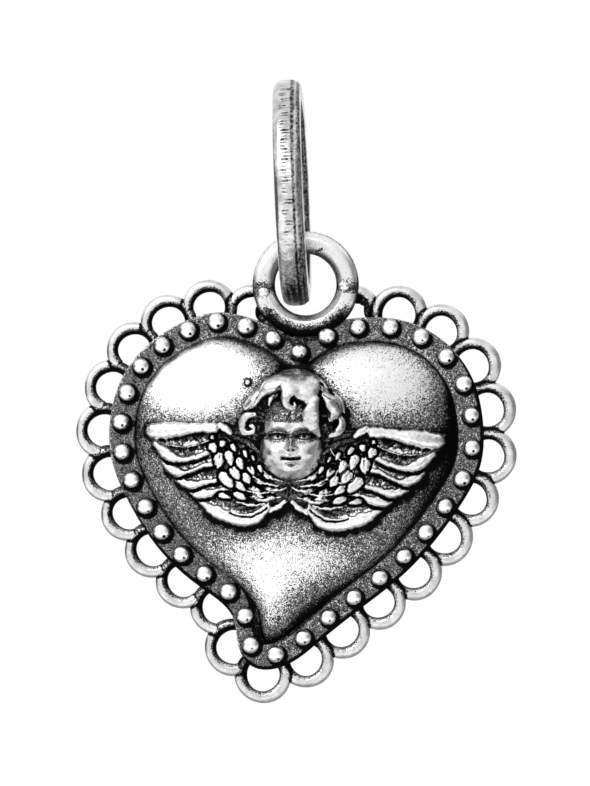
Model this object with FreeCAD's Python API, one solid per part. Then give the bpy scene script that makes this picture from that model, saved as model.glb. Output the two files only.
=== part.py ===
import FreeCAD, Part
import math
import os

# Heart-shaped milagro charm in silver, with a winged cherub head, hung from a jump ring.
# Millimetres and degrees. The origin is the jump ring's centre, +X is to the viewer's
# right, +Z is up and the charm's front faces -Y.

V = FreeCAD.Vector
across = V(1, 0, 0)
behind = V(0, 1, 0)
above = V(0, 0, 1)
overrun = 1.0                  # how far a cutting solid runs past what it cuts
flat_limit = 10 ** -8          # a face bent less than this is flat

# Jump ring, a closed ring of bevelled wire whose plane stands square to the heart
ring_outer = 15.26
ring_wire_deep = 1.80          # along the ring's radius
ring_wire_wide = 1.90          # along the ring's axis
ring_lean = 2.4                # degrees, the top towards -X

# Hanging eye, soldered into the heart's notch
eye_outer = 7.18
eye_wire = 1.52
eye_seat = 0.37                # from the notch up to the eye's lowest point
eye_off_notch = 0.45           # the eye's centre lies this far to the right of the notch
link_clearance = 0.20          # between the ring's wire and the eye's hole
link_angle = 40                # degrees, from the ring's wire to the eye's centre
bevel_share = 0.27             # bevel of a wire's corners, as a share of the wire

# Heart plate
plate_width = 25.20
plate_height = 24.06
plate_thick = 1.00

# Points of the plate's outline from the notch round the left lobe, the tip and the right
# lobe, as shares of the plate's width and height
outline_shares = (
    (0.508, 0.913), (0.431, 0.961), (0.358, 0.990), (0.291, 1.000), (0.190, 0.969),
    (0.100, 0.906), (0.036, 0.820), (0.003, 0.708), (0.007, 0.583), (0.046, 0.480),
    (0.144, 0.323), (0.246, 0.228), (0.332, 0.142), (0.350, 0.051), (0.385, 0.006),
    (0.455, 0.004), (0.558, 0.073), (0.686, 0.180), (0.784, 0.262), (0.866, 0.353),
    (0.941, 0.461), (0.992, 0.566), (1.000, 0.695), (0.969, 0.821), (0.900, 0.915),
    (0.801, 0.973), (0.698, 0.986), (0.587, 0.965), (0.508, 0.913))

# Puffed dome on the plate
rim_band = 1.70                # flat band left round the dome
dome_rise = 2.30
dome_centre_share = (0.495, 0.600)
dome_levels_share = (1.0, 0.98, 0.94, 0.87, 0.77, 0.63, 0.46, 0.28, 0.10)
dome_round_power = 0.5         # how soon the upper contours lose the foot's corners
dome_round_angle = 50          # degrees to each side that a rounded contour averages
foot_power = 2.3               # shape of the dome's shoulder
crown_power = 1.9

# Row of granulation beads on the flat band
bead_diameter = 1.05
bead_inset = 0.78              # from the plate's edge to the beads' line
bead_line_lift = 0.18          # the line sits this much higher than an even inset
bead_seat_share = 0.78         # height of a bead over its flat foot, by its diameter
left_beads = 17                # between the notch bead and the tip bead
right_beads = 16
bead_tip_share = 0.495         # where the tip bead is along the line
bead_rings_share = ((0.96, 0.0), (0.93, 0.56), (0.48, 1.0))
bead_sides = 7

# Scalloped edge of wire loops
loop_middle = 1.52             # radius of the wire's middle line
loop_wire = 0.84
loop_outset = 0.40             # the loops' centres lie this far outside the plate
loop_run = 12                  # loops on each side of the tip loop
loop_first_share = 0.043       # places of the first, the tip and the last loop
loop_tip_share = 0.484
loop_last_share = 0.951
loop_steps = 16                # steps in a full turn
loop_open_steps = 2            # steps left open each way at the plate
loop_band_share = 0.5          # flat outer band of the wire's section

# Cherub head, with its eyes at mid height as on any small child
head_centre_share = (0.492, 0.655)
face_half_width = 2.15
face_half_height = 3.05
face_front = 1.80              # the face's highest point over the dome's crown
face_sides = 20
face_rings = 9
hair_half_width = 3.25
hair_half_height = 3.10
hair_front = 1.30
hair_centre_share = (0.03, 0.36)
hair_sides = 18
hair_rings = 4
hair_wave_share = 0.05         # waves of the hair's edge
hair_waves = 9

# Rises and hollows of the face: place and spread by shares of its half width and half
# height, then height by the face's front
face_bumps_share = (
    ((0.00, -0.17), (0.15, 0.11), 0.34), ((0.00, 0.06), (0.11, 0.20), 0.10),
    ((-0.46, -0.34), (0.28, 0.22), 0.15), ((0.46, -0.34), (0.28, 0.22), 0.15),
    ((0.00, -0.84), (0.26, 0.12), 0.16), ((-0.36, 0.26), (0.30, 0.09), 0.10),
    ((0.36, 0.26), (0.30, 0.09), 0.10), ((-0.38, 0.06), (0.22, 0.10), -0.26),
    ((0.38, 0.06), (0.22, 0.10), -0.26), ((-0.38, 0.05), (0.11, 0.06), 0.16),
    ((0.38, 0.05), (0.11, 0.06), 0.16), ((0.00, -0.53), (0.20, 0.06), -0.14),
    ((0.00, -0.64), (0.17, 0.05), 0.10))

# Locks of hair by shares of the hair's half width and half height: places, then thickness
lock_thick = 0.80
lock_shares = (
    ((0.14, 0.94), (0.22, 0.50), (-0.10, 0.16), 1.70),
    ((0.02, 0.96), (-0.34, 0.80), (-0.46, 0.34), 1.35),
    ((-0.10, 0.94), (-0.74, 0.80), (-0.80, 0.28), 1.20),
    ((0.22, 0.94), (0.62, 0.76), (0.56, 0.20), 1.35),
    ((0.30, 0.90), (0.96, 0.66), (0.84, 0.02), 1.20),
    ((0.84, 0.20), (0.98, -0.14), (0.80, -0.44), 1.00))
lock_thicks_share = (0.55, 1.0, 1.0, 0.80, 0.40)
curl_shares = ((-0.86, 0.16), (-0.90, -0.24), (0.90, 0.10))
curl_radius = 0.46
curl_turn = 300                # degrees
curl_steps = 6
curl_shrink_share = 0.6        # how far a curl winds in
curl_thicks_share = (0.8, 0.5)
strand_sides = 6
first_ring_share = 0.4         # the innermost ring of a boss, as a part of one step

# Wings, with their places as shares of the wing's length and height from its inner end
wing_length = 9.70
wing_height = 6.70
wing_root_share = (0.485, 0.415)
feather_half_width = 0.52
feather_lift = 0.66            # of a feather's ridge over the dome
feather_sink = 0.50            # of a feather's foot below the dome, cut away later
wing_clearance = 0.02          # between the plate and a wing that overhangs the dome
arm_half_width = 0.62
arm_lift = 1.00
scale_half_width = 0.44
scale_half_height = 0.56
scale_lift = 0.85
scale_sides = 8
scale_rings = 2
web_half_width = 1.55          # the skin under the scales
web_lift = 0.34
ridge_share = 0.35             # the ridge lies this far towards a feather's lower edge
edge_lift_share = 0.30
feather_widths_share = (0.75, 0.95, 1.0, 0.85, 0.35)
feather_lifts_share = (0.85, 0.9, 1.0, 1.0, 0.55)
web_widths_share = (0.75, 1.0, 0.85, 0.5)
web_lifts_share = (1.0, 1.0, 1.0, 0.8)

feather_places_share = (
    ((0.40, 0.79), (0.70, 0.775), (0.965, 0.82)),
    ((0.38, 0.69), (0.66, 0.665), (0.945, 0.745)),
    ((0.36, 0.59), (0.61, 0.535), (0.880, 0.575)),
    ((0.34, 0.49), (0.56, 0.410), (0.795, 0.425)),
    ((0.28, 0.41), (0.50, 0.300), (0.705, 0.305)),
    ((0.02, 0.22), (0.32, 0.045), (0.635, 0.215)))
arm_places_share = ((0.20, 0.89), (0.56, 0.92), (0.975, 0.925))
web_places_share = ((0.00, 0.46), (0.24, 0.58), (0.50, 0.68))
scale_places_share = (
    (0.55, 0.74), (0.50, 0.60), (0.43, 0.75), (0.41, 0.50), (0.46, 0.40),
    (0.33, 0.62), (0.34, 0.37), (0.25, 0.50), (0.22, 0.38), (0.14, 0.42))


def bevelled(deep, wide):
    # corners of a wire's section, as distances along the radius and the axis
    cut = bevel_share * min(deep, wide)
    r = deep / 2
    a = wide / 2
    return ((r, a - cut), (r - cut, a), (cut - r, a), (-r, a - cut),
            (-r, cut - a), (cut - r, -a), (r - cut, -a), (r, cut - a))


def closed_face(corners):
    return Part.Face(Part.makePolygon(list(corners) + [corners[0]]))


def hoop(centre, axis, radius, section):
    # full ring whose section starts along the direction square to the axis and above
    out = axis.cross(above).normalize()
    corners = [centre + out * (radius + r) + axis * a for r, a in section]
    return closed_face(corners).revolve(centre, axis, 360)


def turned(vector, axis, degrees):
    return FreeCAD.Rotation(axis, degrees).multVec(vector)


def skinned(rings):
    # flat faces through closed rings of corners, and flat caps at both ends
    faces = [closed_face(rings[0][::-1]), closed_face(rings[-1])]
    for near, far in zip(rings, rings[1:]):
        for i in range(len(near)):
            j = (i + 1) % len(near)
            quad = (near[i], near[j], far[j], far[i])
            normal = (quad[1] - quad[0]).cross(quad[3] - quad[0])
            lift = abs(normal.dot(quad[2] - quad[0]))
            if lift > normal.Length * (quad[2] - quad[0]).Length * flat_limit:
                faces.append(closed_face((quad[0], quad[1], quad[2])))
                faces.append(closed_face((quad[0], quad[2], quad[3])))
            else:
                faces.append(closed_face(quad))
    return Part.Solid(Part.Shell(faces))


def faceted(rings):
    # solid through rings that may run either way round
    solid = skinned(rings)
    if solid.Volume < 0:
        solid = skinned([ring[::-1] for ring in rings])
    return solid


def joined(solids):
    return solids[0].multiFuse(solids[1:]).removeSplitter()


# Where the pieces meet
ring_middle = (ring_outer - ring_wire_deep) / 2
ring_axis = turned(across, behind, -ring_lean)
ring_foot = turned(above * -ring_middle, behind, -ring_lean)
ring_corner = max(math.hypot(r, a) for r, a in bevelled(ring_wire_deep, ring_wire_wide))
eye_hole = eye_outer / 2 - eye_wire
link_offset = eye_hole - ring_corner - link_clearance
eye_centre = ring_foot + turned(across, behind, -link_angle) * link_offset
notch = eye_centre - above * (eye_outer / 2 + eye_seat) - across * eye_off_notch
plate_corner = notch - across * (outline_shares[0][0] * plate_width) \
    - above * (outline_shares[0][1] * plate_height)
plate_back = eye_wire / 2      # the eye and the plate are flush at the back
plate_front = plate_back - plate_thick


def on_plate(share):
    return plate_corner + across * (share[0] * plate_width) + above * (share[1] * plate_height)


def at_depth(point, depth):
    return V(point.x, depth, point.z)


outline = Part.BSplineCurve()
outline.interpolate([at_depth(on_plate(share), plate_back) for share in outline_shares])
outline_steps = 224
outline_arcs = 28              # each spans a whole number of pairs of steps
side_line_share = 0.985        # a side line's points keep this much of its distance
corner_steps = 3


def sampled_outline():
    # places and outward directions along the plate's outline
    places = []
    for i in range(outline_steps + 1):
        along = outline.FirstParameter + \
            (outline.LastParameter - outline.FirstParameter) * i / outline_steps
        place = outline.value(along)
        way = V(*outline.tangent(along)[0])
        places.append((place, V(way.z, 0, -way.x)))
    return places


outline_places = sampled_outline()


def side_line(outset):
    # line at a steady distance outside the outline, or inside it where outset is negative
    line = []
    for place, outward in outline_places:
        point = place + outward * outset
        nearest = min((point - other).Length for other, _ in outline_places)
        if nearest > abs(outset) * side_line_share:
            line.append(point)
    if outset < 0:
        # turn round the notch from the last point back to the first
        corner = outline_places[0][0]
        first = line[0] - corner
        last = line[-1] - corner
        half = math.degrees(first.getAngle(last)) / 2
        parts = [half * k / corner_steps for k in range(1, corner_steps + 1)]
        line = [corner + turned(first, behind, -part) for part in reversed(parts)] + line
        line += [corner + turned(last, behind, part) for part in parts]
    return line


def lengths_along(line):
    total = [0]
    for near, far in zip(line, line[1:]):
        total.append(total[-1] + (far - near).Length)
    return total


def place_along(line, share):
    # place on a line of points and the line's direction there
    totals = lengths_along(line)
    wanted = share * totals[-1]
    index = 1
    while index < len(line) - 1 and totals[index] < wanted:
        index += 1
    near = line[index - 1]
    far = line[index]
    part = (wanted - totals[index - 1]) / (totals[index] - totals[index - 1])
    return near + (far - near) * part, (far - near).normalize()


def ease_steps(first, last, count):
    return [first + (last - first) * i / count for i in range(count + 1)]


def plate_prism(front, back):
    # the outline is a chain of arcs, each through three places
    half = outline_steps // outline_arcs // 2
    points = [at_depth(place, front) for place, _ in outline_places]
    arcs = [Part.Arc(points[i], points[i + half], points[i + 2 * half]).toShape()
            for i in range(0, outline_steps, 2 * half)]
    return Part.Face(Part.Wire(arcs)).extrude(behind * (back - front))


def heart_plate():
    return plate_prism(plate_front, plate_back)


# Dome
foot_line = side_line(-rim_band)
dome_centre = on_plate(dome_centre_share)
foot_steps = 52


def foot_reach(direction):
    # distance from the dome's centre to its foot in a direction of the heart's plane
    best = 0
    for near, far in zip(foot_line, foot_line[1:] + foot_line[:1]):
        a = near - dome_centre
        b = far - dome_centre
        side_a = direction.x * a.z - direction.z * a.x
        side_b = direction.x * b.z - direction.z * b.x
        if side_a * side_b <= 0 and side_a != side_b:
            hit = a + (b - a) * (side_a / (side_a - side_b))
            best = max(best, hit.x * direction.x + hit.z * direction.z)
    return best


reach_steps = 120
foot_reaches = [foot_reach(turned(across, behind, -360 * i / reach_steps))
                for i in range(reach_steps)]
round_steps = round(reach_steps * dome_round_angle / 360)
round_reaches = [sum(foot_reaches[(i + k) % reach_steps]
                     for k in range(-round_steps, round_steps + 1)) / (2 * round_steps + 1)
                 for i in range(reach_steps)]


def table_reach(table, away):
    # value of a table of reaches in the direction of a vector
    turn = math.atan2(away.z, away.x) / math.radians(360) * reach_steps
    first = math.floor(turn)
    part = turn - first
    return table[first % reach_steps] * (1 - part) + table[(first + 1) % reach_steps] * part


def level_reach(level, reach, round_reach):
    # distance from the centre to a contour, which turns rounder towards the crown
    rounding = (1 - level) ** dome_round_power
    return level * (reach * (1 - rounding) + round_reach * rounding)


def level_height(level):
    return dome_rise * (1 - level ** foot_power) ** (1 / crown_power)


def dome_front(point):
    # depth of the dome's surface at a point of the heart's plane
    away = V(point.x - dome_centre.x, 0, point.z - dome_centre.z)
    if away.Length == 0:
        return plate_front - dome_rise
    reach = table_reach(foot_reaches, away)
    round_reach = table_reach(round_reaches, away)
    low = 0.0
    high = 1.0
    while high - low > 1 / foot_steps ** 2:
        level = (low + high) / 2
        if level_reach(level, reach, round_reach) < away.Length:
            low = level
        else:
            high = level
    return plate_front - level_height(low)


def contour(level):
    # closed contour of the dome at a level
    places = []
    for share in ease_steps(0, 1, foot_steps)[:-1]:
        foot, _ = place_along(foot_line, share)
        away = V(foot.x - dome_centre.x, 0, foot.z - dome_centre.z)
        reach = level_reach(level, away.Length, table_reach(round_reaches, away))
        point = dome_centre + away * (reach / away.Length)
        places.append(at_depth(point, plate_front - level_height(level)))
    return places


def heart_dome():
    return faceted([contour(level) for level in dome_levels_share])


# Eye, ring and beads
def jump_ring():
    section = bevelled(ring_wire_deep, ring_wire_wide)
    return hoop(V(0, 0, 0), ring_axis, ring_middle, section)


def whole_eye():
    return hoop(eye_centre, behind, (eye_outer - eye_wire) / 2, bevelled(eye_wire, eye_wire))


def bead(place):
    radius = bead_diameter / 2
    height = bead_diameter * bead_seat_share
    rings = []
    for wide_share, up_share in bead_rings_share:
        ring = []
        for i in range(bead_sides):
            spoke = turned(above * (radius * wide_share), behind, 360 * i / bead_sides)
            ring.append(at_depth(place, plate_front - height * up_share) + spoke)
        rings.append(ring)
    return faceted(rings)


def bead_row(eye):
    line = side_line(-bead_inset)
    left = ease_steps(0, bead_tip_share, left_beads + 1)
    right = ease_steps(bead_tip_share, 1, right_beads + 1)
    places = [place_along(line, share)[0] for share in left + right[1:-1]]
    beads = []
    for place in places:
        beads += bead(place + above * bead_line_lift).cut(eye).Solids
    return Part.makeCompound(beads)


# Scalloped edge
def loop_places():
    line = side_line(loop_outset)
    shares = ease_steps(loop_first_share, loop_tip_share, loop_run)
    shares += ease_steps(loop_tip_share, loop_last_share, loop_run)[1:]
    places = []
    for share in shares:
        place, way = place_along(line, share)
        places.append((at_depth(place, (plate_front + plate_back) / 2), V(way.z, 0, -way.x)))
    return places


def loop_arc(centre, outward):
    half = loop_wire / 2
    band = half * loop_band_share
    section = ((half, -band), (half, band), (0, half), (-half, band), (-half, -band), (0, -half))
    rings = []
    turns = loop_steps // 2 - loop_open_steps
    for i in range(-turns, turns + 1):
        out = turned(outward, behind, 360 * i / loop_steps)
        rings.append([centre + out * (loop_middle + r) + behind * a for r, a in section])
    return faceted(rings)


def loop_disc(centre, outward):
    # what a loop fills out to its outer edge
    radius = loop_middle + loop_wire / 2
    corners = [centre - behind * loop_wire + turned(outward, behind, 360 * i / loop_steps) * radius
               for i in range(loop_steps)]
    return closed_face(corners).extrude(behind * (2 * loop_wire))


def edge_loops(plate, eye):
    # each loop stands on the plate's edge and its far arm ends on the next loop
    places = loop_places()
    trim = plate_prism(plate_front - overrun, plate_back + overrun).fuse(eye)
    loops = []
    for i, (centre, outward) in enumerate(places):
        loop = loop_arc(centre, outward).cut(trim)
        if i + 1 < len(places):
            loop = loop.cut(loop_disc(*places[i + 1]))
        loops.append(max(loop.Solids, key=lambda solid: solid.Volume))
    return loops


# Reliefs
def swell(u, v):
    # height of an even swell, from 1 at its middle to 0 at its edge
    return math.sqrt(max(0, 1 - u * u - v * v))


def relief(top, half_width, half_height, rise, back, sides, rings, height=swell, wave=0):
    # boss with its highest point at the front and straight sides behind
    loops = []
    for k in range(rings + 1):
        reach = math.sin(math.radians(90) * (k + first_ring_share) / (rings + first_ring_share))
        loop = []
        for i in range(sides):
            turn = math.radians(360) * i / sides
            out = reach * (1 + wave * math.cos(hair_waves * turn))
            u = reach * math.cos(turn) * min(k, 1)
            v = reach * math.sin(turn) * min(k, 1)
            loop.append(V(top.x + half_width * math.cos(turn) * out,
                          top.y + rise * (1 - height(u, v)),
                          top.z + half_height * math.sin(turn) * out))
        loops.append(loop)
    loops.append([at_depth(point, back) for point in loops[-1]])
    return faceted(loops)


# Wings
def curved_places(points, count):
    # evenly spaced places on the parabola through three points
    first, middle, last = points
    places = []
    for i in range(count + 1):
        t = i / count
        places.append(first * ((1 - t) * (1 - 2 * t)) + middle * (4 * t * (1 - t))
                      + last * (t * (2 * t - 1)))
    return places


def wing_back(depth):
    return min(depth, plate_front - wing_clearance)


def quill(points, half_width, lift, widths_share, lifts_share):
    # leaf that lies on the dome, with a ridge towards its lower side
    places = curved_places(points, len(widths_share) - 1)
    rings = []
    for i, place in enumerate(places):
        way = places[min(i + 1, len(places) - 1)] - places[max(i - 1, 0)]
        side = V(-way.z, 0, way.x).normalize()
        if side.dot(above) > 0:
            side = -side
        wide = half_width * widths_share[i]
        high = lift * lifts_share[i]
        ring = []
        for offset, rise in ((-1, -feather_sink), (-1, high * edge_lift_share),
                             (ridge_share, high), (1, high * edge_lift_share),
                             (1, -feather_sink)):
            point = place + side * (wide * offset)
            ring.append(at_depth(point, wing_back(dome_front(point) - rise)))
        rings.append(ring)
    return faceted(rings)


def wing(side):
    # side is -1 for the wing at the viewer's left and 1 for the other
    root = on_plate(wing_root_share)

    def placed(share):
        return root + across * (side * share[0] * wing_length) + above * (share[1] * wing_height)

    quills = [quill([placed(share) for share in web_places_share], web_half_width, web_lift,
                    web_widths_share, web_lifts_share),
              quill([placed(share) for share in arm_places_share], arm_half_width, arm_lift,
                    feather_widths_share, feather_lifts_share)]
    for shares in feather_places_share:
        quills.append(quill([placed(share) for share in shares], feather_half_width,
                            feather_lift, feather_widths_share, feather_lifts_share))
    for share in scale_places_share:
        place = placed(share)
        top = at_depth(place, dome_front(place) - scale_lift)
        back = wing_back(top.y + scale_lift + feather_sink)
        quills.append(relief(top, scale_half_width, scale_half_height, scale_lift,
                             back, scale_sides, scale_rings))
    return joined(quills)


# Cherub head
head_centre = on_plate(head_centre_share)
crown_front = plate_front - dome_rise


def on_head(share, front):
    # place on the head by shares of the face's half width and half height
    point = head_centre + across * (share[0] * face_half_width) \
        + above * (share[1] * face_half_height)
    return at_depth(point, crown_front - front)


def strand(points, thicks):
    # tapering strand of six sides through the points
    rings = []
    for i, point in enumerate(points):
        way = points[min(i + 1, len(points) - 1)] - points[max(i - 1, 0)]
        side = way.cross(behind).normalize()
        up = side.cross(way).normalize()
        turns = [math.radians(360 * k / strand_sides) for k in range(strand_sides)]
        rings.append([point + (side * math.cos(turn) + up * math.sin(turn)) * (thicks[i] / 2)
                      for turn in turns])
    return faceted(rings)


def on_hair(share):
    # place on the rounded mass of hair
    centre = on_head(hair_centre_share, hair_front)
    reach = min(1, math.hypot(share[0], share[1]))
    depth = centre.y + hair_front * (1 - math.sqrt(1 - reach ** 2))
    return V(centre.x + share[0] * hair_half_width, depth, centre.z + share[1] * hair_half_height)


def face_height(u, v):
    # height of the face over its edge, with its rises and hollows
    height = swell(u, v)
    for place, spread, rise in face_bumps_share:
        away = ((u - place[0]) / spread[0]) ** 2 + ((v - place[1]) / spread[1]) ** 2
        height += rise * math.exp(-away)
    return height


def curl(share):
    # strand wound nearly a full turn, rising to its middle
    centre = on_hair(share)
    points = []
    for i in range(curl_steps + 1):
        part = i / curl_steps
        spoke = turned(across * (curl_radius * (1 - curl_shrink_share * part)), behind,
                       math.copysign(curl_turn * part, -share[0]))
        points.append(centre + spoke - behind * (curl_radius * part))
    return strand(points, [lock_thick * share
                           for share in ease_steps(*curl_thicks_share, curl_steps)])


def hair_lock(first, middle, last, thick_share):
    places = curved_places([V(share[0], 0, share[1]) for share in (first, middle, last)],
                           len(lock_thicks_share) - 1)
    points = [on_hair((place.x, place.z)) for place in places]
    return strand(points, [lock_thick * thick_share * share for share in lock_thicks_share])


def cherub_head(dome):
    back = plate_front - dome_rise / 2
    parts = [relief(on_head((0, 0), face_front), face_half_width, face_half_height,
                    face_front, back, face_sides, face_rings, face_height),
             relief(on_head(hair_centre_share, hair_front), hair_half_width, hair_half_height,
                    hair_front, back, hair_sides, hair_rings, swell, hair_wave_share)]
    parts += [hair_lock(*shares) for shares in lock_shares]
    parts += [curl(share) for share in curl_shares]
    return joined(parts).cut(dome)


def largest(shape):
    return max(shape.Solids, key=lambda solid: solid.Volume)


def build():
    plate = heart_plate()
    dome = heart_dome()
    eye = whole_eye()
    head = largest(cherub_head(dome))
    shapes = {
        "jump_ring": jump_ring(),
        "heart_plate": plate,
        "heart_dome": dome,
        "hanging_eye": largest(eye.cut(plate)),
        "bead_row": bead_row(eye),
        "cherub_head": head,
        "left_wing": largest(wing(-1).cut(dome).cut(head)),
        "right_wing": largest(wing(1).cut(dome).cut(head))}
    for i, loop in enumerate(edge_loops(plate, eye)):
        shapes["edge_loop_%02d" % (i + 1)] = loop
    return shapes


os.makedirs("parts", exist_ok=True)
for name, shape in build().items():
    shape.exportStep("parts/" + name + ".step")
    print(name, round(shape.Volume, 2), shape.isValid())
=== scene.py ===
import math
import bpy
import numpy as np
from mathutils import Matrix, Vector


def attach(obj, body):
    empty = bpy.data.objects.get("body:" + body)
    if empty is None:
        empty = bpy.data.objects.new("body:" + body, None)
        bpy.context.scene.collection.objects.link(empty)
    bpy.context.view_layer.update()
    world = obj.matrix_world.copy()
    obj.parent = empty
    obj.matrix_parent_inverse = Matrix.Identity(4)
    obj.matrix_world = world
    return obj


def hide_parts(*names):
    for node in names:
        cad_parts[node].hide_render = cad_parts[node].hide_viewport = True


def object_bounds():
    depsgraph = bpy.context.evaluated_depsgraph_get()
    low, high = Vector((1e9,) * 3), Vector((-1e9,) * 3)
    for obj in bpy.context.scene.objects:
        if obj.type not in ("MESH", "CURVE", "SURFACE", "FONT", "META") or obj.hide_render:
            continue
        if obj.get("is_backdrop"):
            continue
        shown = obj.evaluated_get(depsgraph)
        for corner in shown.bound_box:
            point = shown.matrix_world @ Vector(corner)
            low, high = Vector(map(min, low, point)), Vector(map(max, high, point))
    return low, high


# Silver heart charm with a winged cherub head, on its jump ring. Lengths are in millimetres until
# a mesh or a place is written in metres.

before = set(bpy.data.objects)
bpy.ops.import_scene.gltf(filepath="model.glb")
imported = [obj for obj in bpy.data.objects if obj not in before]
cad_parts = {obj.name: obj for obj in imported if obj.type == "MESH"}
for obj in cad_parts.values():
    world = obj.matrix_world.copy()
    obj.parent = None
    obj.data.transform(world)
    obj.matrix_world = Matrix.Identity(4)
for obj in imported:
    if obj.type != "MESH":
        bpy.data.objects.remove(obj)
cadLow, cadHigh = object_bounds()
millimetre = 0.001
rng = np.random.default_rng(7)

plate = {"width": 25.20, "height": 24.06, "thick": 1.00, "back": 0.76, "band": 1.70,
         "edgeRound": 0.10, "edgeRows": 5, "grain": 0.016, "steps": 960, "fineSteps": 4000,
         "dish": 0.10, "hammer": 0.012}
# the plate's outline from the notch round the left lobe, the tip and the right lobe, as shares of
# its width and height
plateOutline = np.array([
    (0.508, 0.913), (0.431, 0.961), (0.358, 0.990), (0.291, 1.000), (0.190, 0.969),
    (0.100, 0.906), (0.036, 0.820), (0.003, 0.708), (0.007, 0.583), (0.046, 0.480),
    (0.144, 0.323), (0.246, 0.228), (0.332, 0.142), (0.350, 0.051), (0.385, 0.006),
    (0.455, 0.004), (0.558, 0.073), (0.686, 0.180), (0.784, 0.262), (0.866, 0.353),
    (0.941, 0.461), (0.992, 0.566), (1.000, 0.695), (0.969, 0.821), (0.900, 0.915),
    (0.801, 0.973), (0.698, 0.986), (0.587, 0.965), (0.508, 0.913)])
plateCorner = np.array((-12.331, -32.115))
plateFront = plate["back"] - plate["thick"]


# Meshes from whole arrays
def faceGrid(rows, columns, closedRound=True):
    # quads between neighbours of a grid numbered row by row
    r, c = np.meshgrid(np.arange(rows - 1), np.arange(columns if closedRound else columns - 1),
                       indexing="ij")
    d = (c + 1) % columns
    quads = np.stack([r * columns + c, r * columns + d, (r + 1) * columns + d,
                      (r + 1) * columns + c], -1)
    return quads.reshape(-1, 4)


def tubeSkin(rings):
    # rings of points along a run, with a middle point closing each end as a fan
    rows, columns = rings.shape[:2]
    points = np.concatenate([rings.reshape(-1, 3), rings[[0, -1]].mean(1)])
    near = np.arange(columns)
    far = (near + 1) % columns
    first = np.full(columns, rows * columns)
    last = (rows - 1) * columns
    quads = faceGrid(rows, columns)
    fans = np.concatenate([np.stack([far, near, first], -1),
                           np.stack([last + near, last + far, first + 1], -1)])
    return points, [quads, fans]


def outward(points, faces):
    # a closed skin whose volume comes out negative is turned over
    total = 0
    for block in faces:
        a = points[block[:, 0]]
        for k in range(1, block.shape[1] - 1):
            total += np.einsum("ij,ij->i", a, np.cross(points[block[:, k]],
                                                       points[block[:, k + 1]])).sum()
    return [block[:, ::-1] for block in faces] if total < 0 else faces


def putObject(name, data):
    # an object at the origin that shows the data
    item = bpy.data.objects.new(name, data)
    bpy.context.scene.collection.objects.link(item)
    return item


def putMesh(name, shells, body, nodes, material):
    # shells are points, faces and a value per point that is 1 on rubbed bright metal and 0 in a
    # black hollow, with painted light and shade mixed in
    places, polygons, wearsAndPaintedLight, start = [], [], [], 0
    for points, faces, wearAndPaintedLight in shells:
        for block in outward(points, faces):
            polygons += (block + start).tolist()
        places.append(points)
        wearsAndPaintedLight.append(np.broadcast_to(wearAndPaintedLight, len(points)))
        start += len(points)
    mesh = bpy.data.meshes.new(name)
    mesh.from_pydata((np.concatenate(places) * millimetre).tolist(), [], polygons)
    mesh.attributes.new("wearAndPaintedLight", "FLOAT", "POINT").data.foreach_set(
        "value", np.concatenate(wearsAndPaintedLight).astype(np.float32))
    mesh.polygons.foreach_set("use_smooth", np.ones(len(polygons), bool))
    mesh.materials.append(material)
    mesh.update()
    piece = putObject(name, mesh)
    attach(piece, body)
    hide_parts(*nodes)
    print("made", name, len(mesh.vertices), "points")


def smoothStep(low, high, value):
    # 0 up to low and 1 from high on; between them it eases in and out as a cubic
    t = np.clip((value - low) / (high - low), 0, 1)
    return t * t * (3 - 2 * t)


def bell(away, width, power=2):
    # one over e to the power of the distance in widths: 1 in the middle, 0 a few widths away;
    # a higher power is flatter on top
    return np.exp(-(away / width) ** power)


def lengthAlong(line):
    # the lengths of a line's steps, added up to each of its points
    return np.concatenate([[0], np.cumsum(np.linalg.norm(np.diff(line, axis=0), axis=1))])


def cubicThrough(points, steps):
    # smooth line through the points: cubic pieces that share slope and bend, free at the ends
    knots = lengthAlong(points)
    gaps = np.diff(knots)
    count = len(points)
    rows = np.arange(1, count - 1)
    matrix = np.eye(count)
    matrix[rows, rows - 1] = gaps[:-1]
    matrix[rows, rows] = 2 * (gaps[:-1] + gaps[1:])
    matrix[rows, rows + 1] = gaps[1:]
    slopes = np.diff(points, axis=0) / gaps[:, None]
    right = np.zeros_like(points, dtype=float)
    right[1:-1] = 6 * np.diff(slopes, axis=0)
    bends = np.linalg.solve(matrix, right)
    t = np.linspace(0, knots[-1], steps)
    k = np.clip(np.searchsorted(knots, t, side="right") - 1, 0, count - 2)
    h = gaps[k][:, None]
    a = (knots[k + 1] - t)[:, None] / h
    b = 1 - a
    return (a * points[k] + b * points[k + 1]
            + ((a ** 3 - a) * bends[k] + (b ** 3 - b) * bends[k + 1]) * h ** 2 / 6)


def placesAt(line, lengths):
    # places at given lengths along a line, straight between its points
    return np.stack([np.interp(lengths, lengthAlong(line), line[:, k]) for k in (0, 1)], -1)


def evenPlaces(line, count):
    # places at equal distances along an open line
    return placesAt(line, np.linspace(0, lengthAlong(line)[-1], count))


def unit(vectors):
    # each vector over its own length
    return vectors / np.linalg.norm(vectors, axis=1)[:, None]


def besideLine(line, shares):
    # places at shares of a line's length, and the direction out of the heart there
    length = lengthAlong(line)
    wanted = shares * length[-1]
    way = np.diff(line, axis=0)[np.clip(np.searchsorted(length, wanted) - 1, 0, len(line) - 2)]
    way = unit(way)
    return placesAt(line, wanted), np.stack([way[:, 1], -way[:, 0]], -1)


def nearest(places, marks):
    # distance from each place to the nearest of the marks
    squares = (places[:, :1] - marks[:, 0]) ** 2 + (places[:, 1:] - marks[:, 1]) ** 2
    return np.sqrt(squares.min(1))


def turnsOf(count):
    # evenly spaced angles once round
    return np.linspace(0, 2 * math.pi, count, endpoint=False)


def upright(flat, depth):
    # (x, z) places at a depth, as points
    return np.stack([flat[..., 0], np.broadcast_to(depth, flat.shape[:-1]), flat[..., 1]], -1)


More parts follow.
